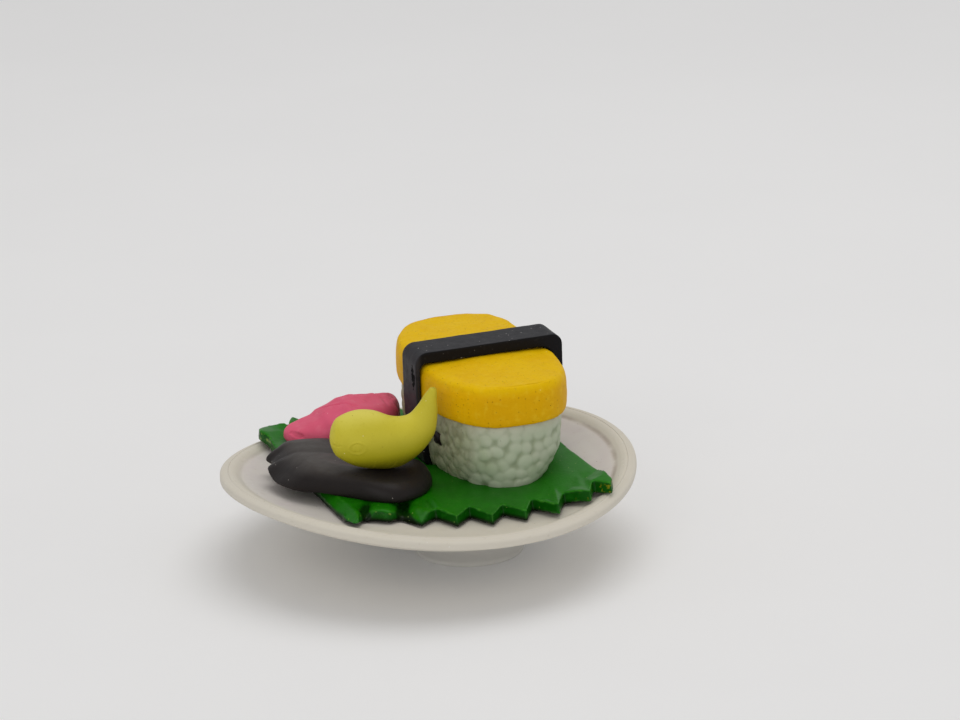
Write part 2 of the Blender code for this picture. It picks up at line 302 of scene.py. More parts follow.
cream = Paint("cream_soft_plastic", rgb(217, 211, 198), 0.5)
px, py, pz = cream.axes()
radius = cream.maths(
    "SQRT", cream.maths("ADD", cream.maths("MULTIPLY", px, px), cream.maths("MULTIPLY", py, py)))
top_side = cream.between(cream.facing_up(), 0.1, 0.5)
shaded = cream.overlap(cream.fade(radius, RIM_R, WELL_R), top_side, cream.fade(py, -25, -14))
off_groove = cream.maths("ABSOLUTE", cream.maths("SUBTRACT", radius, GROOVE_R * MM))
washed = cream.overlap(cream.fade(off_groove, 0.65, 0.05), cream.fade(cream.maths("ADD", px, py), -12, 8))
cream.mottle(9, 0.35, 0.75, rgb(216, 209, 194), 0.5)
# painted shade: grey-pink in the well, fading out towards the front
cream.coat(shaded, rgb(217, 211, 206), 0.85)
cream.coat(cream.overlap(shaded, cream.patches(6, 0.4, 0.75, shift=40)), rgb(210, 200, 199), 0.6)
cream.coat(cream.overlap(washed, top_side, cream.patches(5, 0.25, 0.6)), rgb(150, 132, 116), 0.5)
cream.mottle(1.3, 0.60, 0.72, rgb(196, 188, 172), 0.3, shift=14)
cream.specks(1.0, 0.09, 0.10, rgb(104, 92, 80), 0.7)
cream.specks(1.1, 0.10, 0.12, rgb(246, 244, 240), 0.6, shift=9)
# painted light: the underside and foot are painted lighter and greyer
cream.coat(cream.fade(pz, 9, 4), rgb(221, 219, 213), 0.9)
cream.gloss(cream.clouds(1.6), 0.42, 0.62)
cream.relief(cream.clouds(0.45), 0.02, 0.5)
cream.relief(cream.clouds(4.0, detail=1.0), 0.08, 0.4)
cream.on(plate)
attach(plate, "root")
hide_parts("dish")

# --------------------------------------------------------------------------------------
# The leaf: a thick green sheet of soft plastic with a saw-toothed front and back edge, glued into the dish's
# well. Its left front teeth are pressed into round fingers under the slices. Painted shade darkens the tooth
# walls, the gaps between the fingers and the hollow corners, and painted shadow makes the walls nearly black
# at their foot. Painted highlights lighten streaks on the walls, the fingers' upper edges and, with worn
# paint, the sharp edges, and a little bare yellow is left on the tips.

LEAF_UNDER, LEAF_TOP = 13.0, 15.12
LIFT, LIFT_FROM, LIFT_TO = 0.98, 28.5, 31.2  # where it rides up on the rim
DROOP, DROOP_FROM, DROOP_OVER = 0.35, 21.0, 6.0
LEAF_SKIN = 0.26  # the size of the remade skin's squares
# the gaps between the pressed fingers: a place on each, its slant, half width and depth
GAPS = ((-18.0, -18.3, 0.5, 0.85, 1.7), (-11.8, -19.7, 0.4, 1.15, 1.7), (-6.8, -20.8, 0.1, 0.8, 0.35))
THINNEST = 0.45  # what pressing leaves of the sheet
PRESSED_OVER = 1.6  # the height over which a pressed or flared wall changes
TIP_ROLL, EDGE_PRESS = 0.8, 1.35  # how deep the finger tips and the left edge are pressed
CORNER_OUT, CORNER_UP = 0.8, 0.35  # how the left back corner is drawn
TOOTH_X, TOOTH_HALF = -14.2, 2.6  # the back tooth beside that corner, turned up over the rim
TOOTH_OUT, TOOTH_UP = 0.8, 1.0
WALL_FLARE = 0.22


def leaf_ride(x, y):
    """How far the dish under the leaf has risen."""
    return bow(x, y) + LIFT * ease((math.hypot(x, y) - LIFT_FROM) / (LIFT_TO - LIFT_FROM))


def leaf_top(x, y):
    """The height of the leaf's upper face."""
    return LEAF_TOP + leaf_ride(x, y) - DROOP * ease((abs(y) - DROOP_FROM) / DROOP_OVER)


def remoulded(obj, skin, rounds):
    """The body remade as one even skin of small squares, its edges softened as a mould leaves them."""
    mod = obj.modifiers.new("skin", "REMESH")
    mod.mode = "VOXEL"
    mod.voxel_size = skin * MM
    soft = obj.modifiers.new("soft", "SMOOTH")
    soft.factor = 0.5
    soft.iterations = rounds
    mesh = bpy.data.meshes.new_from_object(obj.evaluated_get(bpy.context.evaluated_depsgraph_get()))
    obj.modifiers.clear()
    obj.data = mesh
    mesh.shade_smooth()


def cad_copy(node, name):
    """A merged copy of a CAD node's mesh under its own name."""
    bm = bmesh.new()
    bm.from_mesh(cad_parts[node].data)
    bmesh.ops.remove_doubles(bm, verts=bm.verts, dist=1e-6)
    mesh = bpy.data.meshes.new(name)
    bm.to_mesh(mesh)
    bm.free()
    return placed(name, mesh)


def gap_depth(x, y):
    """How deep the gap between two fingers is at a place; the gaps run out towards the leaf's middle."""
    deep = 0.0
    for gx, gy, slant, half, depth in GAPS:
        off = (x - gx - slant * max(y - gy, 0.0)) / half
        deep = max(deep, depth * math.exp(-off * off) * ease((-13.6 - y) / 3.4))
    return deep


def press_leaf(x, y, z):
    """The gaps, the tips rolled down, the left edge pressed thin, and what was drawn out or flared."""
    share = ease((z - LEAF_UNDER - leaf_ride(x, y)) / PRESSED_OVER)
    pressed = gap_depth(x, y) + TIP_ROLL * ease((-19.4 - y) / 4.2) * ease((-8.0 - x) / 1.5)
    pressed += EDGE_PRESS * ease((-19.9 - x) / 1.9) * ease((-4.0 - y) / 4.0)
    z -= min(pressed, LEAF_TOP - LEAF_UNDER - THINNEST) * share
    z += 0.07 * share * ripple(x, y, 0, 6.0, 3.1)
    corner = ease((-18.5 - x) / 2.0) * ease((y - 22.0) / 3.0)
    x, z = x - CORNER_OUT * corner, z + CORNER_UP * corner
    tooth = ease((y - 25.0) / 2.5) * math.exp(-(((x - TOOTH_X) / TOOTH_HALF) ** 2))
    x, z = x - TOOTH_OUT * tooth, z + TOOTH_UP * tooth
    flare = WALL_FLARE * (1 - 2 * share)
    y += flare * (ease((y - 22.0) / 4.0) - ease((-18.0 - y) / 4.0))
    return x, y, z


def softened(obj, share, rounds):
    """Rounds the body off, as much at each point as the share found there."""
    bm = bmesh.new()
    bm.from_mesh(obj.data)
    soft = [(v, share(*(v.co / MM))) for v in bm.verts]
    soft = [(v, 0.5 * much, [e.other_vert(v) for e in v.link_edges]) for v, much in soft if much > 0.01]
    for _ in range(rounds):
        new = [v.co.lerp(sum((o.co for o in near), Vector()) / len(near), much) for v, much, near in soft]
        for (v, _, _), co in zip(soft, new):
            v.co = co
    bm.to_mesh(obj.data)
    bm.free()


def marked(obj, name, rule):
    """Keeps a number at every point of the body for its paint to use."""
    kept = obj.data.attributes.new(name, "FLOAT", "POINT")
    kept.data.foreach_set("value", [rule(v) for v in obj.data.vertices])


def hollows(obj):
    """Marks how hollow or, below zero, how sharp the body is at each point, in millimetres."""
    bm = bmesh.new()
    bm.from_mesh(obj.data)
    sunk = []
    for v in bm.verts:
        around = [e.other_vert(v).co for e in v.link_edges]
        sunk.append((sum(around, Vector()) / len(around) - v.co).dot(v.normal) / MM)
    bm.free()
    marked(obj, "hollow", lambda v: sunk[v.index])


leaf = cad_copy("leaf", "leaf_sheet")
remoulded(leaf, LEAF_SKIN, rounds=2)
marked(leaf, "gap", lambda v: min(gap_depth(v.co.x / MM, v.co.y / MM), 1.0))
moved(leaf, press_leaf)
softened(leaf, lambda x, y, z: ease((-6.0 - x) / 3.0) * ease((-15.0 - y) / 2.0), rounds=14)
hollows(leaf)

green = Paint("green_leaf_paint", rgb(22, 112, 0), 0.42, specular=0.12)
px, py, pz = green.axes()
# height above the leaf's underside, following the bowed dish
across = green.maths("ADD", green.maths("MULTIPLY", px, math.cos(BOW_TURN)),
                     green.maths("MULTIPLY", py, math.sin(BOW_TURN)))
rise = green.maths("MULTIPLY", green.maths("MULTIPLY", across, across), BOW / DISH_R ** 2 / MM)
height = green.maths("SUBTRACT", green.maths("SUBTRACT", pz, rise), LEAF_UNDER * MM)
wall = green.between(green.facing_up(), 0.8, 0.35)
hollow = green.kept("hollow")
green.mottle(8, 0.3, 0.7, rgb(18, 96, 0), 0.8)
green.coat(green.fade(px, 6, 24), rgb(40, 124, 20), 0.6)
green.coat(green.fade(py, 8, 20), rgb(34, 118, 22), 0.6)
green.mottle(2.2, 0.5, 0.8, rgb(44, 130, 18), 0.4, shift=5)
green.mottle(0.7, 0.5, 0.75, rgb(14, 84, 0), 0.35, shift=17)
# painted shade: the tooth walls are painted darker green than the top
green.coat(wall, rgb(8, 74, 4), 0.85)
# painted highlight: lighter green streaks on the tooth walls
green.coat(green.overlap(wall, green.patches(1.1, 0.52, 0.7, shift=9)), rgb(30, 108, 20), 0.5)
# painted shade: the gaps between the fingers are painted nearly black
green.coat(green.between(green.kept("gap"), 0.35, 0.9), rgb(6, 26, 2), 0.85)
# painted shade: hollow corners are painted darker
green.coat(green.between(hollow, 0.006, 0.035), rgb(6, 48, 2), 0.6)
# the sharp edges are painted lighter green: partly worn paint, partly painted highlight
sharp = green.between(hollow, -0.012, -0.04)
green.coat(green.overlap(sharp, green.patches(0.9, 0.4, 0.6, shift=21)), rgb(74, 146, 44), 0.45)
# painted shadow: the walls are painted nearly black at their foot, by the dish
green.coat(green.fade(height, 1.05, 0.25), rgb(10, 18, 4), 0.95)
bare = green.overlap(wall, green.patches(0.8, 0.57, 0.66, shift=2))
green.coat(green.overlap(bare, green.fade(px, 12, 26)), rgb(150, 140, 20), 0.8)
# painted highlight: pale yellow-green along the upper edge of the left fingers' walls
lip = green.overlap(wall, green.fade(height, 1.1, 1.6), green.patches(0.6, 0.56, 0.66, shift=8))
green.coat(green.overlap(lip, green.fade(px, -6, -10)), rgb(150, 176, 84), 0.6)
green.specks(0.8, 0.075, 0.16, rgb(178, 204, 110), 0.75)
green.specks(0.9, 0.09, 0.14, rgb(6, 34, 4), 0.7, shift=7)
green.gloss(green.clouds(2.4), 0.24, 0.42)
green.relief(green.clouds(0.5), 0.04, 0.6)
green.on(leaf)
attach(leaf, "root")
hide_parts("leaf")

# --------------------------------------------------------------------------------------
# The rice: one block of greenish-white soft plastic, narrower and rounder at its foot, its sides moulded as
# grains pressed together. Grey-green painted shade lies between the grains and darkens its left side, and two
# small dark paint marks are on its left side.

SUSHI_X, SUSHI_Y = 11.1, 3.3
RICE_POWER = 2.9  # 2 would be an ellipse
FOOT_ROUNDER = 0.75  # how much less that is at the block's foot
NARROW = 0.0026  # how the block narrows towards the back, to each millimetre
RICE_SEG = 120
CORE_INSET, BED_INSET = 0.24, 0.55  # how far in the block's own face is, and the one the grains are set on
# half width, half length, height, sideways lean
RICE_RINGS = (
    (8.7, 19.7, 15.00, -1.3), (9.6, 20.2, 16.10, -1.1), (10.1, 20.3, 18.00, -0.8), (10.5, 20.2, 20.60, -0.5),
    (10.7, 20.0, 22.80, -0.35), (10.65, 19.8, 24.60, -0.25), (10.4, 19.5, 25.70, -0.2),
    (10.1, 19.1, 26.20, -0.1),
)
GRAIN_SPACING = 1.7
GRAIN_SIZE = (1.6, 1.36, 0.72)  # half its length, width and thickness
GRAIN_SMALLEST, GRAIN_LARGEST = (0.82, 0.82, 0.8), (1.12, 1.12, 1.08)  # how much a grain may differ
GRAIN_STAND = 0.46  # how far a whole grain stands off the block
FLAT_STAND = 0.30  # and one pressed flat
PAINT_MARKS = ((-5.5, -2.4, 20.1, 22.2), (11.3, 12.3, 23.2, 25.2))  # each mark's reach along the side and up


def superellipse(cx, cy, a, b, power, count, square=0.0):
    """An oblong with full sides that narrows to the back, its back right corner squarer if asked."""
    points = []
    for i in range(count):
        t = 2 * math.pi * (i + 0.5) / count
        c, s = math.cos(t), math.sin(t)
        full = power + square * (math.sqrt(2 * c * s) if c > 0 and s > 0 else 0.0)
        x, y = a * math.copysign(abs(c) ** (2 / full), c), b * math.copysign(abs(s) ** (2 / full), s)
        narrow = 0.0 if square and x > 0 else NARROW
        points.append((cx + x * (1 - narrow * max(y, 0.0)), cy + y))
    return points


def rice_body(name, inset):
    """The block's plain shape, taken in from its outline."""
    rings = []
    for a, b, z, lean in curve_through(RICE_RINGS, steps=5):
        power = RICE_POWER - FOOT_ROUNDER * (1 - ease((z - 15.5) / 5.0))
        outline = superellipse(SUSHI_X + lean, SUSHI_Y, a - inset, b - inset, power, RICE_SEG)
        rings.append([(x, y, z) for x, y in outline])
    low = (SUSHI_X + RICE_RINGS[0][3], SUSHI_Y, RICE_RINGS[0][2])
    return lofted(name, rings, low, (SUSHI_X, SUSHI_Y, RICE_RINGS[-1][2]))


def joined(obj, other):
    """Adds the other body to this one's mesh, and takes the other away."""
    bm = bmesh.new()
    bm.from_mesh(obj.data)
    bm.from_mesh(other.data)
    bm.to_mesh(obj.data)
    bm.free()
    bpy.data.objects.remove(other)


def grown_by(obj, tree, name, **values):
    """What the tree makes on the body, as a plain mesh under its own name."""
    mod = obj.modifiers.new("grow", "NODES")
    mod.node_group = tree
    for socket in tree.interface.items_tree:
        if socket.in_out == "INPUT" and socket.name.replace(" ", "_").lower() in values:
            mod[socket.identifier] = values[socket.name.replace(" ", "_").lower()]
    obj.update_tag()
    mesh = bpy.data.meshes.new_from_object(obj.evaluated_get(bpy.context.evaluated_depsgraph_get()))
    obj.modifiers.clear()
    return placed(name, mesh)


white = Paint("rice_paint", rgb(181, 191, 165), 0.45, specular=0.25)

# the tree that sets grains on the sides of a block, each turned its own way and of its own size
tree = bpy.data.node_groups.new("pressed_grains", "GeometryNodeTree")
interface = tree.interface
interface.new_socket("Block", in_out="INPUT", socket_type="NodeSocketGeometry")
for name, kind in (("Spacing", "Float"), ("Grain Length", "Float"), ("Grain Width", "Float"),
                   ("Grain Thickness", "Float"), ("Seed", "Int")):
    interface.new_socket(name, in_out="INPUT", socket_type="NodeSocket" + kind)
interface.new_socket("Grains", in_out="OUTPUT", socket_type="NodeSocketGeometry")
given = tree_node(tree, "NodeGroupInput").outputs
upright = tree_node(tree, "ShaderNodeSeparateXYZ", {0: tree_node(tree, "GeometryNodeInputNormal").outputs[0]})
flatness = tree_node(tree, "ShaderNodeMath", {0: upright.outputs[2]}, operation="ABSOLUTE")
on_side = tree_node(tree, "ShaderNodeMath", {0: flatness.outputs[0], 1: 0.8}, operation="LESS_THAN")
spread = tree_node(tree, "GeometryNodeDistributePointsOnFaces", {
    "Mesh": given["Block"], "Selection": on_side.outputs[0], "Distance Min": given["Spacing"],
    "Density Max": 4.0e6, "Seed": given["Seed"]}, distribute_method="POISSON")
grain = tree_node(tree, "GeometryNodeMeshUVSphere", {"Segments": 14, "Rings": 8, "Radius": 1.0})
size = tree_node(tree, "ShaderNodeCombineXYZ", {
    0: given["Grain Length"], 1: given["Grain Width"], 2: given["Grain Thickness"]})
vary = tree_node(tree, "FunctionNodeRandomValue", {
    "Min": GRAIN_SMALLEST, "Max": GRAIN_LARGEST, "Seed": given["Seed"]}, data_type="FLOAT_VECTOR")
grown = tree_node(
    tree, "ShaderNodeVectorMath", {0: size.outputs[0], 1: vary.outputs["Value"]}, operation="MULTIPLY")
angle = tree_node(tree, "FunctionNodeRandomValue", {2: 0.0, 3: math.pi, "Seed": 7})
spin = tree_node(tree, "FunctionNodeAxisAngleToRotation", {"Axis": (0, 0, 1), "Angle": angle.outputs[1]})
lie = tree_node(tree, "FunctionNodeRotateRotation", {0: spread.outputs["Rotation"], 1: spin.outputs[0]},
                rotation_space="LOCAL")
put = tree_node(tree, "GeometryNodeInstanceOnPoints", {
    "Points": spread.outputs["Points"], "Instance": grain.outputs["Mesh"], "Rotation": lie.outputs[0],
    "Scale": grown.outputs[0]})
real = tree_node(tree, "GeometryNodeRealizeInstances", {0: put.outputs[0]})
painted = tree_node(tree, "GeometryNodeSetMaterial", {0: real.outputs[0], "Material": white.material})
tree_node(tree, "NodeGroupOutput", {"Grains": painted.outputs[0]})

core, bed = rice_body("rice_core", CORE_INSET), rice_body("grain_bed", BED_INSET)
grain_length, grain_width, grain_thickness = (side * MM for side in GRAIN_SIZE)
grains = grown_by(bed, tree, "rice_block", spacing=GRAIN_SPACING * MM, grain_length=grain_length,
                  grain_width=grain_width, grain_thickness=grain_thickness, seed=4)
smooth_core = BVHTree.FromPolygons(
    [v.co for v in core.data.vertices], [f.vertices for f in core.data.polygons])
bpy.data.objects.remove(bed)
joined(grains, core)
remoulded(grains, skin=0.19, rounds=2)
# the grains are pressed flat, most of all close under the egg; how far each point still stands off the block
# is kept for the painted shade between the grains
stands = []
for v in grains.data.vertices:
    spot, normal = smooth_core.find_nearest(v.co)[:2]
    flatter = 0.2 + 0.4 * ease((v.co.z / MM - 23.2) / 1.6)
    v.co = v.co.lerp(spot + normal * (FLAT_STAND * MM), flatter)
    stands.append((v.co - spot).dot(normal) / (GRAIN_STAND * MM))
marked(grains, "stand", lambda v: min(max(stands[v.index], 0.0), 1.0))

px, py, pz = white.axes()
stand = white.kept("stand")
white.mottle(4.5, 0.35, 0.7, rgb(194, 197, 177), 0.6)
white.mottle(7, 0.45, 0.7, rgb(166, 180, 144), 0.6, shift=11)
white.coat(white.fade(pz, 23.0, 25.6), rgb(204, 203, 186), 0.5)
# painted shade: darker grey-green where a point stands low between the grains
white.coat(white.between(stand, 0.62, 0.15), rgb(142, 153, 122), 0.7)
white.coat(white.between(stand, 0.22, 0.0), rgb(104, 112, 84), 0.5)
left = white.fade(px, 4.5, 0.9)
# painted shade: the left side is painted darker
white.coat(left, rgb(160, 160, 120), 0.6)
white.coat(white.overlap(left, white.patches(1.7, 0.45, 0.62, shift=3)), rgb(112, 110, 80), 0.45)
wobble = white.between(white.clouds(0.9), 0.0, 1.0, -0.25 * MM, 0.25 * MM)
for y_low, y_high, z_low, z_high in PAINT_MARKS:
    inside = white.fade(px, 3.4, 2.4)
    for socket, low, high in ((py, y_low, y_high), (pz, z_low, z_high)):
        off = white.maths("ABSOLUTE", white.maths("SUBTRACT", socket, (low + high) / 2 * MM))
        edge = white.maths("SUBTRACT", white.maths("ADD", off, wobble), (high - low) / 2 * MM)
        inside = white.overlap(inside, white.fade(edge, 0.08, -0.08))
    white.coat(inside, rgb(26, 18, 18))
white.specks(1.0, 0.08, 0.08, rgb(64, 62, 46), 0.8)
white.gloss(white.clouds(1.2), 0.38, 0.55)
white.relief(white.clouds(0.4), 0.03, 0.5)
white.on(grains)
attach(grains, "root")
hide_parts("rice")

# --------------------------------------------------------------------------------------
# The egg: a thick oblong slab of yellow soft plastic on the rice, flat on top with rounded edges and a slight
# overhang all round. Its yellow paint is matt, with fine pits and dust specks; painted shade makes it a
# little deeper down the sides, and painted light brightens the sides towards the left.

EGG_Y = 3.8
EGG_POWER, EGG_SQUARE = 2.7, 2.0
EGG_SEG = 260
# half width, half length, height
EGG_RINGS = (
    (10.9, 20.3, 25.75), (11.45, 20.85, 25.82), (11.8, 21.15, 26.3), (11.9, 21.25, 27.6), (11.9, 21.22, 30.2),
    (11.78, 21.12, 31.5), (11.4, 20.92, 32.3), (10.6, 20.5, 32.74), (9.2, 19.4, 32.88), (5.0, 12.0, 32.96),
)
EGG_CROWN = 33.0
EDGE_LOW, EDGE_HIGH = 30.2, 32.9  # the heights between which the slab's top edge is worn
EDGE_WORN = 0.34

egg_rings = [
    [(x, y, z) for x, y in superellipse(SUSHI_X, EGG_Y, a, b, EGG_POWER, EGG_SEG, EGG_SQUARE)]
    for a, b, z in curve_through(EGG_RINGS, steps=8)
]
egg = lofted("egg_slab", egg_rings, (SUSHI_X, EGG_Y, EGG_RINGS[0][2]), (SUSHI_X, EGG_Y, EGG_CROWN))


def egg_shape(x, y, z):
    """The slab's unevenness: its top edge worn down in a wave, and soft dents of a few sizes all over it."""
    worn = EDGE_WORN * ease((z - EDGE_LOW) / 2.0) * (1 - ease((z - EDGE_HIGH) / 0.1))
    return (-worn * (0.5 + 0.5 * ripple(x, y, z, 3.0, 1.7)) + 0.08 * ripple(x, y, z, 5.0, 0.4)
            + 0.05 * ripple(x, y, z, 1.3, 6.1) + 0.015 * ripple(x, y, z, 0.7, 3.3) - 0.05)


swelled(egg, egg_shape)

yellow = Paint("yellow_egg_paint", rgb(238, 193, 2), 0.55, specular=0.08)
px, _, pz = yellow.axes()
down_side = yellow.fade(pz, 32.4, 30.6)
pits = yellow.dots(0.62, 0.085, 0.32)
# painted shade: the sides are painted a deeper yellow than the top
yellow.coat(down_side, rgb(224, 168, 0), 0.9)
# painted light: the left of the sides is painted brighter yellow
yellow.coat(yellow.overlap(down_side, yellow.fade(px, 6, 1)), rgb(246, 190, 0), 0.85)
yellow.mottle(6, 0.4, 0.7, rgb(230, 178, 2), 0.5)
yellow.mottle(1.1, 0.5, 0.72, rgb(240, 200, 40), 0.4, shift=2)
yellow.mottle(0.5, 0.55, 0.75, rgb(208, 156, 4), 0.45, shift=7)
yellow.coat(pits, rgb(150, 104, 4), 0.6)
yellow.specks(0.9, 0.085, 0.12, rgb(66, 48, 16), 0.8, shift=4)
yellow.specks(1.0, 0.09, 0.10, rgb(252, 232, 140), 0.6, shift=8)
yellow.gloss(yellow.clouds(1.0), 0.45, 0.65)
yellow.relief(yellow.clouds(0.35), 0.05, 0.8)
yellow.relief(yellow.maths("SUBTRACT", 1.0, pits), 0.09, 1.0)
yellow.on(egg)
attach(egg, "root")
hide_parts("egg")

# --------------------------------------------------------------------------------------
# The band: a flat strap of charcoal soft plastic that goes over the egg and down both sides of the rice to
# the leaf. Its edges are crisp, its corners rounded. The paint is rubbed purplish brown low on the left side,
# and a dark scab sits high on it.

BAND_Y, BAND_HALF = 3.1, 3.36
BAND_TOP, BAND_UNDER = 35.05, 33.0
CORNER_LEFT, CORNER_RIGHT = (2.2, 1.1), (1.9, 2.4)  # outer and inner radius
BAND_EDGE = 0.24
# outer and inner reach from the sushi's middle, height, from the top corner down
BAND_LEFT = (
    (12.88, 11.9, 30.0), (12.88, 11.9, 26.2), (12.80, 11.1, 24.2), (12.60, 11.0, 20.6), (12.25, 10.8, 18.0),
    (11.95, 10.6, 16.4), (11.60, 10.3, 15.3),
)
BAND_RIGHT = (
    (13.62, 11.9, 30.0), (13.55, 11.9, 26.2), (13.00, 10.9, 24.2), (12.10, 10.5, 20.6), (11.10, 9.6, 18.0),
    (10.30, 8.8, 16.4), (9.70, 8.1, 15.3),
)
BEND, SPAN = 8, 24  # steps round a corner of the strap and along its top
BAND_RINGS = 220
FLAT, THIN, ROUND = 16, 3, 5  # points along a section's wide faces, its edges and each corner
SCAB_Y, SCAB_Z = (1.3, 0.75), (30.5, 1.9)  # its middle and half its size, along the strap's width and up

outer = [(-o, z) for o, _, z in reversed(BAND_LEFT)]
inner = [(-i, z) for _, i, z in reversed(BAND_LEFT)]
for hand, (out, into, _), (big, small) in ((-1, BAND_LEFT[0], CORNER_LEFT), (1, BAND_RIGHT[0], CORNER_RIGHT)):
    for k in range(BEND + 1) if hand < 0 else range(BEND, -1, -1):
        t = math.radians(90 * k / BEND)
        outer.append((hand * (out - big * (1 - math.cos(t))), BAND_TOP - big * (1 - math.sin(t))))
        inner.append((hand * (into - small * (1 - math.cos(t))), BAND_UNDER - small * (1 - math.sin(t))))
    if hand < 0:
        o0, o1 = -BAND_LEFT[0][0] + CORNER_LEFT[0], BAND_RIGHT[0][0] - CORNER_RIGHT[0]
        i0, i1 = -BAND_LEFT[0][1] + CORNER_LEFT[1], BAND_RIGHT[0][1] - CORNER_RIGHT[1]
        for k in range(1, SPAN):
            outer.append((o0 + (o1 - o0) * k / SPAN, BAND_TOP))
            inner.append((i0 + (i1 - i0) * k / SPAN, BAND_UNDER))
outer += [(o, z) for o, _, z in BAND_RIGHT]
inner += [(i, z) for _, i, z in BAND_RIGHT]


def even(lines, count):
    """The paired lines walked in step, so that both have count points spread evenly along the first."""
    first = lines[0]
    walked = [0.0]
    for p, q in zip(first, first[1:]):
        walked.append(walked[-1] + math.dist(p, q))
    out = [[] for _ in lines]
    k = 0
    for i in range(count):
        want = walked[-1] * i / (count - 1)
        while k < len(first) - 2 and walked[k + 1] < want:
            k += 1
        f = (want - walked[k]) / max(walked[k + 1] - walked[k], 1e-9)
        for line, made in zip(lines, out):
            made.append(tuple(a + (b - a) * f for a, b in zip(line[k], line[k + 1])))
    return out


def section(thick):
    """The strap's cross-section: a thin oblong with rounded corners, as places through it and across it."""
    edge = min(BAND_EDGE, thick * 0.4)
    near, far, wide = edge, thick - edge, BAND_HALF - edge
    corners = ((far, wide), (near, wide), (near, -wide), (far, -wide))
    around = []
    for k, (u, v) in enumerate(corners):
        for s in range(ROUND):
            t = math.radians(90 * k + 90 * s / (ROUND - 1))
            around.append((u + edge * math.cos(t), v + edge * math.sin(t)))
        (nu, nv), a = corners[(k + 1) % 4], math.radians(90 * k + 90)
        p, q = around[-1], (nu + edge * math.cos(a), nv + edge * math.sin(a))
        count = FLAT if k in (1, 3) else THIN
        around += [tuple(b + (c - b) * s / count for b, c in zip(p, q)) for s in range(1, count)]
    return around


def middle(ring):
    """The middle of a ring of points."""
    return tuple(sum(p[k] for p in ring) / len(ring) for k in range(3))


band_rings = []
for (ox, oz), (ix, iz) in zip(*even([outer, inner], BAND_RINGS)):
    thick = math.hypot(ox - ix, oz - iz)
    ux, uz = (ox - ix) / thick, (oz - iz) / thick
    band_rings.append([(SUSHI_X + ix + ux * u, BAND_Y + v, iz + uz * u) for u, v in section(thick)])
band = lofted("dark_band", band_rings, middle(band_rings[0]), middle(band_rings[-1]))
swelled(band, lambda x, y, z: 0.05 * ripple(x, y, z, 5.0, 5.2) + 0.03 * ripple(x, y, z, 1.2, 2.6) - 0.08)

charcoal = Paint("charcoal_band_paint", rgb(51, 51, 55), 0.5, specular=0.1)
px, py, pz = charcoal.axes()
off_middle = charcoal.maths("ABSOLUTE", charcoal.maths("SUBTRACT", py, BAND_Y * MM))
left = charcoal.fade(px, SUSHI_X - 11.5, SUSHI_X - 12.5)
charcoal.mottle(5, 0.4, 0.7, rgb(57, 57, 60), 0.5)
# painted shade: the strap's narrow edge faces are painted near black
charcoal.coat(charcoal.fade(off_middle, BAND_HALF - 0.35, BAND_HALF - 0.12), rgb(19, 18, 22), 0.95)
charcoal.coat(left, rgb(54, 52, 56), 0.95)
charcoal.coat(charcoal.overlap(left, charcoal.fade(pz, 27.0, 20.0)), rgb(60, 28, 36), 0.5)
charcoal.coat(charcoal.overlap(left, charcoal.patches(1.3, 0.56, 0.66, shift=6)), rgb(12, 9, 11), 0.3)
# the scab: an upright oval with a broken edge
off_y, off_z = (charcoal.maths("DIVIDE", charcoal.maths("SUBTRACT", socket, place * MM), half * MM)
                for socket, (place, half) in ((py, SCAB_Y), (pz, SCAB_Z)))
off_scab = charcoal.maths(
    "ADD", charcoal.maths("MULTIPLY", off_y, off_y), charcoal.maths("MULTIPLY", off_z, off_z))
broken = charcoal.between(charcoal.clouds(0.7, shift=19), 0.3, 0.7, -0.7, 0.7)
scab = charcoal.overlap(left, charcoal.between(charcoal.maths("ADD", off_scab, broken), 1.1, 0.7))
charcoal.coat(scab, rgb(4, 3, 5), 0.95)
charcoal.mottle(0.6, 0.6, 0.75, rgb(60, 59, 60), 0.35, shift=12)
charcoal.specks(0.8, 0.09, 0.26, rgb(196, 194, 190), 0.75)
charcoal.specks(1.0, 0.11, 0.16, rgb(92, 90, 88), 0.5, shift=5)
charcoal.gloss(charcoal.clouds(1.4), 0.38, 0.6)
charcoal.roughness = charcoal.maths("MAXIMUM", charcoal.roughness, charcoal.maths("MULTIPLY", scab, 0.95))
charcoal.relief(charcoal.clouds(0.5), 0.05, 0.7)
charcoal.on(band)
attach(band, "root")
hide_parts("nori_band")

# --------------------------------------------------------------------------------------
# The ginger: a pink heap of soft plastic on the leaf, moulded as folded slices, with a stepped top, creases
# between the slices and a pinched hollow at its left end. Green paint from the leaf has rubbed onto its right
# end.

GINGER = (
    (-18.6, 19.5), (-18.0, 22.0), (-15.6, 23.4), (-12.0, 24.0), (-8.0, 24.6), (-4.0, 25.2), (-0.2, 24.8),
    (2.2, 22.8), (2.5, 20.2), (1.0, 17.0), (-2.2, 14.0), (-6.5, 12.9), (-11.0, 13.3), (-14.6, 14.6),
    (-17.4, 16.8),
)
GINGER_MIDDLE = (-8.0, 18.9)
GINGER_TOP = (  # place along X, height of the crest there
    (-18.6, 3.7), (-16.0, 3.8), (-13.7, 4.35), (-12.9, 4.7), (-12.2, 5.4), (-10.2, 6.1), (-8.5, 6.95),
    (-6.5, 7.0), (-4.7, 6.8), (-2.8, 6.65), (-0.8, 6.75), (0.6, 7.15), (2.5, 8.4),
)
# each crease from one end to the other, and its depth
CREASES = (
    (-11.2, 20.4, -7.4, 16.6, 0.26), (-5.6, 22.0, -4.2, 18.6, 0.16), (-1.4, 22.0, -0.8, 17.6, 0.16),
)
RUN_OUT = 0.3  # the share of its length over which a crease runs out past each end
PINCH_X, PINCH_Z, PINCH_BEFORE = (-17.3, 0.75), (17.7, 0.42), 18.8  # its middle and half its size
PINCH_DEEP = 0.26
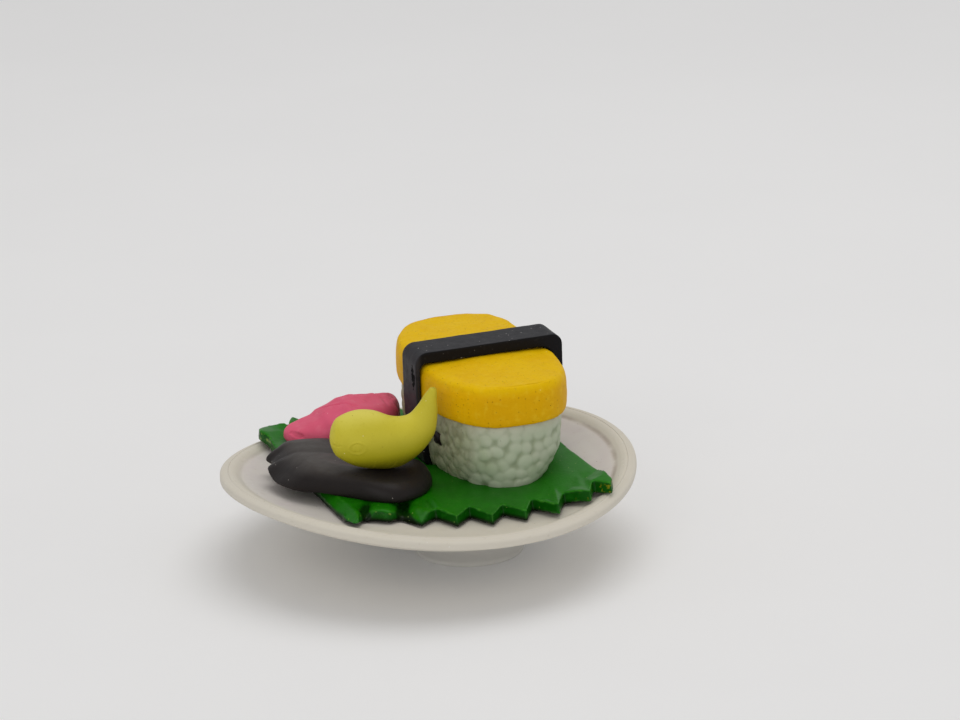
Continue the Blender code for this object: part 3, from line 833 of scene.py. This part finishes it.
# scale of the outline, share of the height
MOUND = (
    (0.80, -0.06), (0.93, -0.02), (0.97, 0.06), (1.0, 0.2), (1.0, 0.34), (0.985, 0.52), (0.93, 0.70),
    (0.82, 0.84), (0.64, 0.93), (0.38, 0.985),
)


def mound(name, points, centre, height, ground, profile=MOUND):
    """A soft heap on the ground surface: its outline scaled about its centre, rising to the given height."""
    outline = curve_through(points, steps=12, closed=True)
    cx, cy = centre
    rings = []
    for scale, share in curve_through(profile, steps=4):
        ring = []
        for x, y in outline:
            at_x, at_y = cx + (x - cx) * scale, cy + (y - cy) * scale
            ring.append((at_x, at_y, ground(at_x, at_y) + share * height(at_x, at_y)))
        rings.append(ring)
    low = (cx, cy, ground(cx, cy) + profile[0][1] * height(cx, cy))
    return lofted(name, rings, low, (cx, cy, ground(cx, cy) + height(cx, cy)))


def along(table, x):
    """The table's value at x, on straight lines between its points."""
    for (xa, va), (xb, vb) in zip(table, table[1:]):
        if x <= xb:
            return va + (vb - va) * max((x - xa) / (xb - xa), 0.0)
    return table[-1][1]


def ginger_height(x, y):
    """How high the heap stands: its stepped crest, in soft waves from front to back."""
    return along(GINGER_TOP, x) + 0.15 * math.sin(0.9 * y - 0.35 * x)


def ginger_folds(x, y, z):
    """Creases between the moulded slices, the lumps they leave, and the pinch at the left end."""
    out = 0.12 * ripple(x, y, z, 3.6, 7.7) + 0.06 * ripple(x, y, z, 1.7, 2.2) - 0.06
    for ax, ay, bx, by, deep in CREASES:
        length = math.hypot(bx - ax, by - ay)
        along_it = ((x - ax) * (bx - ax) + (y - ay) * (by - ay)) / length ** 2
        off = ((x - ax) * (by - ay) - (y - ay) * (bx - ax)) / length + 0.25 * ripple(x, y, 0, 1.6, 4.4)
        if -RUN_OUT < along_it < 1 + RUN_OUT:
            fade = ease((along_it + RUN_OUT) / RUN_OUT) * ease((1 + RUN_OUT - along_it) / RUN_OUT)
            out -= deep * fade * math.exp(-((off / 0.2) ** 2))
            out += 0.06 * fade * math.exp(-(((off - 0.7) / 0.7) ** 2))
    if y < PINCH_BEFORE:
        pinch = math.hypot((x - PINCH_X[0]) / PINCH_X[1], (z - PINCH_Z[0]) / PINCH_Z[1])
        out -= PINCH_DEEP * ease((1.3 - pinch) / 0.5)
    return out


ginger = mound("pink_ginger", GINGER, GINGER_MIDDLE, ginger_height, leaf_top)
remoulded(ginger, skin=0.17, rounds=4)
swelled(ginger, ginger_folds)

pink = Paint("pink_ginger_paint", rgb(228, 94, 126), 0.5, specular=0.2)
px = pink.axes()[0]
pink.mottle(5, 0.35, 0.7, rgb(219, 84, 114), 0.6)
pink.mottle(1.4, 0.5, 0.75, rgb(232, 116, 140), 0.4, shift=3)
pink.coat(pink.overlap(pink.fade(px, -0.4, 1.4), pink.patches(1.2, 0.42, 0.58)), rgb(110, 40, 34), 0.6)
pink.coat(pink.overlap(pink.fade(px, 0.9, 2.0), pink.patches(0.9, 0.5, 0.6, shift=4)), rgb(52, 92, 44), 0.6)
pink.specks(0.9, 0.075, 0.10, rgb(248, 200, 208), 0.7)
pink.specks(1.0, 0.065, 0.10, rgb(110, 38, 48), 0.7, shift=5)
pink.gloss(pink.clouds(1.2), 0.42, 0.6)
pink.relief(pink.clouds(0.4), 0.03, 0.6)
pink.on(ginger)
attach(ginger, "root")
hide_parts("ginger")

# --------------------------------------------------------------------------------------
# The dark slices: one brown-black casting of two long rounded slices side by side, the front one lapping over
# the back one and lobed at its right end, with a notch at the left between them. They hang over the leaf's
# left edge, the back one's tip turned up, and a painted highlight makes their tops lighter grey towards the
# left.

SLICE_FRONT = (
    (-27.5, 2.4), (-27.2, -2.4), (-25.6, -6.6), (-22.2, -9.5), (-18.9, -12.6), (-15.5, -15.8), (-12.0, -17.3),
    (-8.9, -16.5), (-6.2, -14.7), (-4.1, -12.2), (-2.5, -8.7), (-3.1, -5.4), (-8.0, -0.6), (-14.0, 3.0),
    (-19.0, 5.4), (-22.6, 5.9), (-26.3, 4.7),
)
SLICE_BACK = (
    (-25.3, 7.2), (-25.4, 9.6), (-21.7, 11.4), (-17.0, 11.6), (-12.0, 10.2), (-7.2, 6.8), (-4.4, 2.0),
    (-4.4, -2.0), (-9.0, -3.2), (-16.0, -2.6), (-22.5, -0.4), (-25.6, 3.0),
)
FRONT_MIDDLE, BACK_MIDDLE = (-15.0, -6.5), (-15.8, 4.4)
# scale of the outline, share of the height
SLICE_PROFILE = (
    (0.86, -0.06), (0.96, -0.02), (0.995, 0.06), (1.0, 0.16), (0.992, 0.30), (0.965, 0.48), (0.91, 0.66),
    (0.82, 0.81), (0.67, 0.92), (0.38, 0.99),
)
LEAF_LEFT, LEAF_RIGHT, LEAF_FAR = -22.0, 24.0, 20.0  # past these the slices keep the height of the leaf there
# where each bump's middle is, half its size across and along, and its height
SEAT = (-12.0, -10.0, 5.0, 3.0, 0.5)  # under the comma
LOBE = (-4.2, -8.0, 2.6, 3.2, 1.3)  # at the right end


def slice_ground(x, y):
    """The leaf's top and, past its left edge, where the back slice's tip turns up."""
    upturn = 0.3 * ease((y + 1.0) / 5.0) * max(-23.5 - x, 0.0)
    return leaf_top(min(max(x, LEAF_LEFT), LEAF_RIGHT), min(max(y, -LEAF_FAR), LEAF_FAR)) + upturn


def bump(x, y, place):
    """The height at a place of a round bump on a slice."""
    mx, my, a, b, high = place
    return high * math.exp(-(((x - mx) / a) ** 2) - ((y - my) / b) ** 2)


def front_height(x, y):
    """The front slice: higher to the left, low at its tip, with the comma's seat and the right lobe."""
    plain = (3.8 + 0.5 * ease((-12.0 - x) / 7.0)) * (0.35 + 0.65 * ease((x + 28.5) / 6.5))
    return plain + bump(x, y, SEAT) + bump(x, y, LOBE)


def back_height(x, y):
    """The back slice: higher to the left, low at its tip."""
    return (3.3 + 1.0 * ease((-8.0 - x) / 8.0)) * (0.35 + 0.65 * ease((x + 27.8) / 6.5))


slices = mound("dark_slice_pair", SLICE_FRONT, FRONT_MIDDLE, front_height, slice_ground, SLICE_PROFILE)
other = mound("back_slice", SLICE_BACK, BACK_MIDDLE, back_height, slice_ground, SLICE_PROFILE)
joined(slices, other)
remoulded(slices, skin=0.22, rounds=4)
swelled(slices, lambda x, y, z: 0.06 * ripple(x, y, z, 7.0, 8.8) + 0.02 * ripple(x, y, z, 2.2, 1.1) - 0.05)

brown = Paint("brown_black_paint", rgb(33, 28, 27), 0.5, specular=0.2)
px, _, pz = brown.axes()
brown.mottle(7, 0.35, 0.7, rgb(28, 23, 24), 0.7)
# painted highlight: the tops towards the left are painted lighter grey
brown.coat(brown.overlap(brown.fade(pz, 18.6, 20.6), brown.fade(px, -12, -19)), rgb(78, 73, 70), 0.7)
brown.mottle(2.0, 0.5, 0.8, rgb(46, 37, 38), 0.45, shift=6)
brown.specks(0.9, 0.08, 0.10, rgb(172, 166, 160), 0.8)
brown.specks(1.0, 0.10, 0.12, rgb(10, 8, 8), 0.85, shift=5)
brown.gloss(brown.clouds(1.8), 0.36, 0.55)
brown.relief(brown.clouds(0.5), 0.04, 0.6)
brown.on(slices)
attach(slices, "root")
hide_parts("dark_slices")

# --------------------------------------------------------------------------------------
# The comma: a smooth yellow-green piece of soft plastic standing on the slices, a fat round end on the left
# drawn out into an upturned tail on the right. A faint moulded ring is on its front. Painted light brightens
# its upper left, and painted shade darkens its tail and runs dark green along its foot.

COMMA_Y = -10.3
COMMA_DEPTH, TAIL_DEPTH = 0.68, 0.2  # its depth as a share of its height, and how much more where it is thin
TAIL_HALF = 2.4
COMMA_SEG = 220
# its upper and lower outline in its own plane, x and z of each
COMMA = (
    (-20.4, 27.1, -20.6, 25.2), (-19.8, 28.8, -20.3, 24.2), (-18.6, 29.8, -19.4, 22.7),
    (-15.8, 30.4, -16.2, 20.7), (-12.8, 29.9, -11.6, 19.6), (-9.6, 28.5, -8.3, 19.8),
    (-6.8, 28.3, -5.2, 21.4), (-5.1, 29.6, -2.6, 24.2), (-3.9, 31.3, -1.8, 27.7),
    (-3.4, 31.9, -1.8, 29.8), (-3.0, 32.4, -1.7, 31.1), (-2.7, 32.5, -1.7, 32.1),
)
COMMA_START, COMMA_END = (-20.7, 26.2), (-2.1, 32.5)
RING_MARK = (-17.0, 24.8, 1.3, 1.05)  # its middle along and up, half width, half height
NICK_X, NICK_Z, NICK_DEEP = -19.2, 25.3, 0.14  # a short crease left of this, by the round end

comma_rings = []
for ux, uz, lx, lz in curve_through(COMMA, steps=15):
    half = math.hypot(ux - lx, uz - lz) / 2
    depth = half * (COMMA_DEPTH + TAIL_DEPTH * max(0.0, (TAIL_HALF - half) / TAIL_HALF))
    comma_rings.append([
        ((ux + lx) / 2 + (ux - lx) / 2 * math.cos(t), COMMA_Y + depth * math.sin(t),
         (uz + lz) / 2 + (uz - lz) / 2 * math.cos(t))
        for t in (2 * math.pi * i / COMMA_SEG for i in range(COMMA_SEG))
    ])
comma = lofted("yellow_comma", comma_rings, (COMMA_START[0], COMMA_Y, COMMA_START[1]),
               (COMMA_END[0], COMMA_Y, COMMA_END[1]))


def comma_marks(x, y, z):
    """The moulded ring on the front, a short crease by the round end, and slight flats from the mould."""
    out = 0.08 * ripple(x, y, z, 4.5, 9.4) - 0.05
    if y < COMMA_Y:
        mx, mz, a, b = RING_MARK
        off = math.hypot((x - mx) / a, (z - mz) / b)
        out += 0.12 * math.exp(-(((off - 1.0) / 0.15) ** 2)) - 0.12 * math.exp(-(((off - 0.74) / 0.13) ** 2))
        slanted = z - NICK_Z + 0.1 * (x + 20)
        out -= NICK_DEEP * math.exp(-((slanted / 0.13) ** 2)) * ease((NICK_X - x) / 0.5)
    return out


swelled(comma, comma_marks)

lime = Paint("yellow_green_paint", rgb(214, 202, 64), 0.5, specular=0.2)
px, _, pz = lime.axes()
lime.mottle(5, 0.35, 0.7, rgb(206, 192, 52), 0.5)
# painted light: the upper left is painted lighter
lime.coat(lime.overlap(lime.fade(pz, 27.6, 30.4), lime.fade(px, -8, -13)), rgb(230, 219, 104), 0.6)
# painted shade: the tail is painted darker
lime.coat(lime.fade(px, -8, -3), rgb(196, 182, 44), 0.6)
# painted shade: darker towards the foot, nearly dark olive at it
lime.coat(lime.fade(pz, 27.0, 21.8), rgb(172, 163, 14), 0.9)
lime.coat(lime.fade(pz, 23.2, 20.4), rgb(92, 90, 4), 0.85)
lime.mottle(0.6, 0.55, 0.75, rgb(196, 182, 44), 0.35, shift=13)
lime.specks(0.85, 0.08, 0.14, rgb(136, 116, 36), 0.65)
lime.specks(1.0, 0.085, 0.08, rgb(246, 242, 184), 0.7, shift=6)
lime.gloss(lime.clouds(1.2), 0.42, 0.6)
lime.relief(lime.clouds(0.45), 0.04, 0.7)
lime.on(comma)
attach(comma, "root")
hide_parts("comma_garnish")

# --------------------------------------------------------------------------------------
# The setting, in metres: a plain pale floor, a wide soft light overhead, two weaker ones in front, and an
# even bright sky. The camera looks down at the toy from the front and a little from the left.

FLOOR_HALF = 2.0
SKY = 0.52
LIT = (0, 0, 0.02)  # what the lights point at
# each light's place, width, power and colour
LIGHTS = {
    "overhead": ((0.12, 0.08, 0.62), 0.6, 1.2, (1.0, 0.985, 0.96)),
    "front": ((-0.42, -0.55, 0.40), 0.4, 0.55, (1.0, 0.99, 0.98)),
    "low_front": ((-0.30, -0.70, 0.14), 0.4, 0.26, (1.0, 0.99, 0.98)),
}
AZIMUTH, ELEVATION, ROLL = math.radians(-20.3), math.radians(18.3), math.radians(-1.81)
CAMERA_PLACE = (-0.28259, -0.79062, 0.31107)
FOCAL, SENSOR = 198.75, 36.0  # millimetres

floor = placed("floor", bpy.data.meshes.new("floor"))
w = FLOOR_HALF
floor.data.from_pydata([(-w, -w, 0), (w, -w, 0), (w, w, 0), (-w, w, 0)], [], [(0, 1, 2, 3)])
pale = Paint("pale_floor", (0.93, 0.93, 0.94), 0.8, specular=0.1)
pale.mottle(60, 0.3, 0.7, (0.91, 0.91, 0.92), 0.5)
pale.on(floor)

world = bpy.data.worlds.new("studio")
bpy.context.scene.world = world
world.use_nodes = True
world.node_tree.nodes["Background"].inputs["Color"].default_value = (1.0, 0.995, 0.985, 1.0)
world.node_tree.nodes["Background"].inputs["Strength"].default_value = SKY

for name, (where, width, power, colour) in LIGHTS.items():
    lamp = bpy.data.lights.new(name, "AREA")
    lamp.shape = "DISK"
    lamp.size = width
    lamp.energy = power
    lamp.color = colour
    light = placed(name, lamp)
    light.location = where
    light.rotation_euler = (Vector(LIT) - Vector(where)).to_track_quat("-Z", "Y").to_euler()

right = Vector((math.cos(AZIMUTH), math.sin(AZIMUTH), 0))
back = Vector((
    math.sin(AZIMUTH) * math.cos(ELEVATION), -math.cos(AZIMUTH) * math.cos(ELEVATION), math.sin(ELEVATION)))
up = back.cross(right)
rightward, upward = right * math.cos(ROLL) + up * math.sin(ROLL), up * math.cos(ROLL) - right * math.sin(ROLL)
lens = bpy.data.cameras.new("camera")
lens.lens, lens.sensor_width = FOCAL, SENSOR
lens.clip_start, lens.clip_end = 0.02, 20.0
camera = placed("camera", lens)
turn = Matrix((rightward, upward, back)).transposed().to_4x4()
camera.matrix_world = Matrix.Translation(CAMERA_PLACE) @ turn
bpy.context.scene.camera = camera
bpy.context.scene.view_settings.view_transform = "Standard"
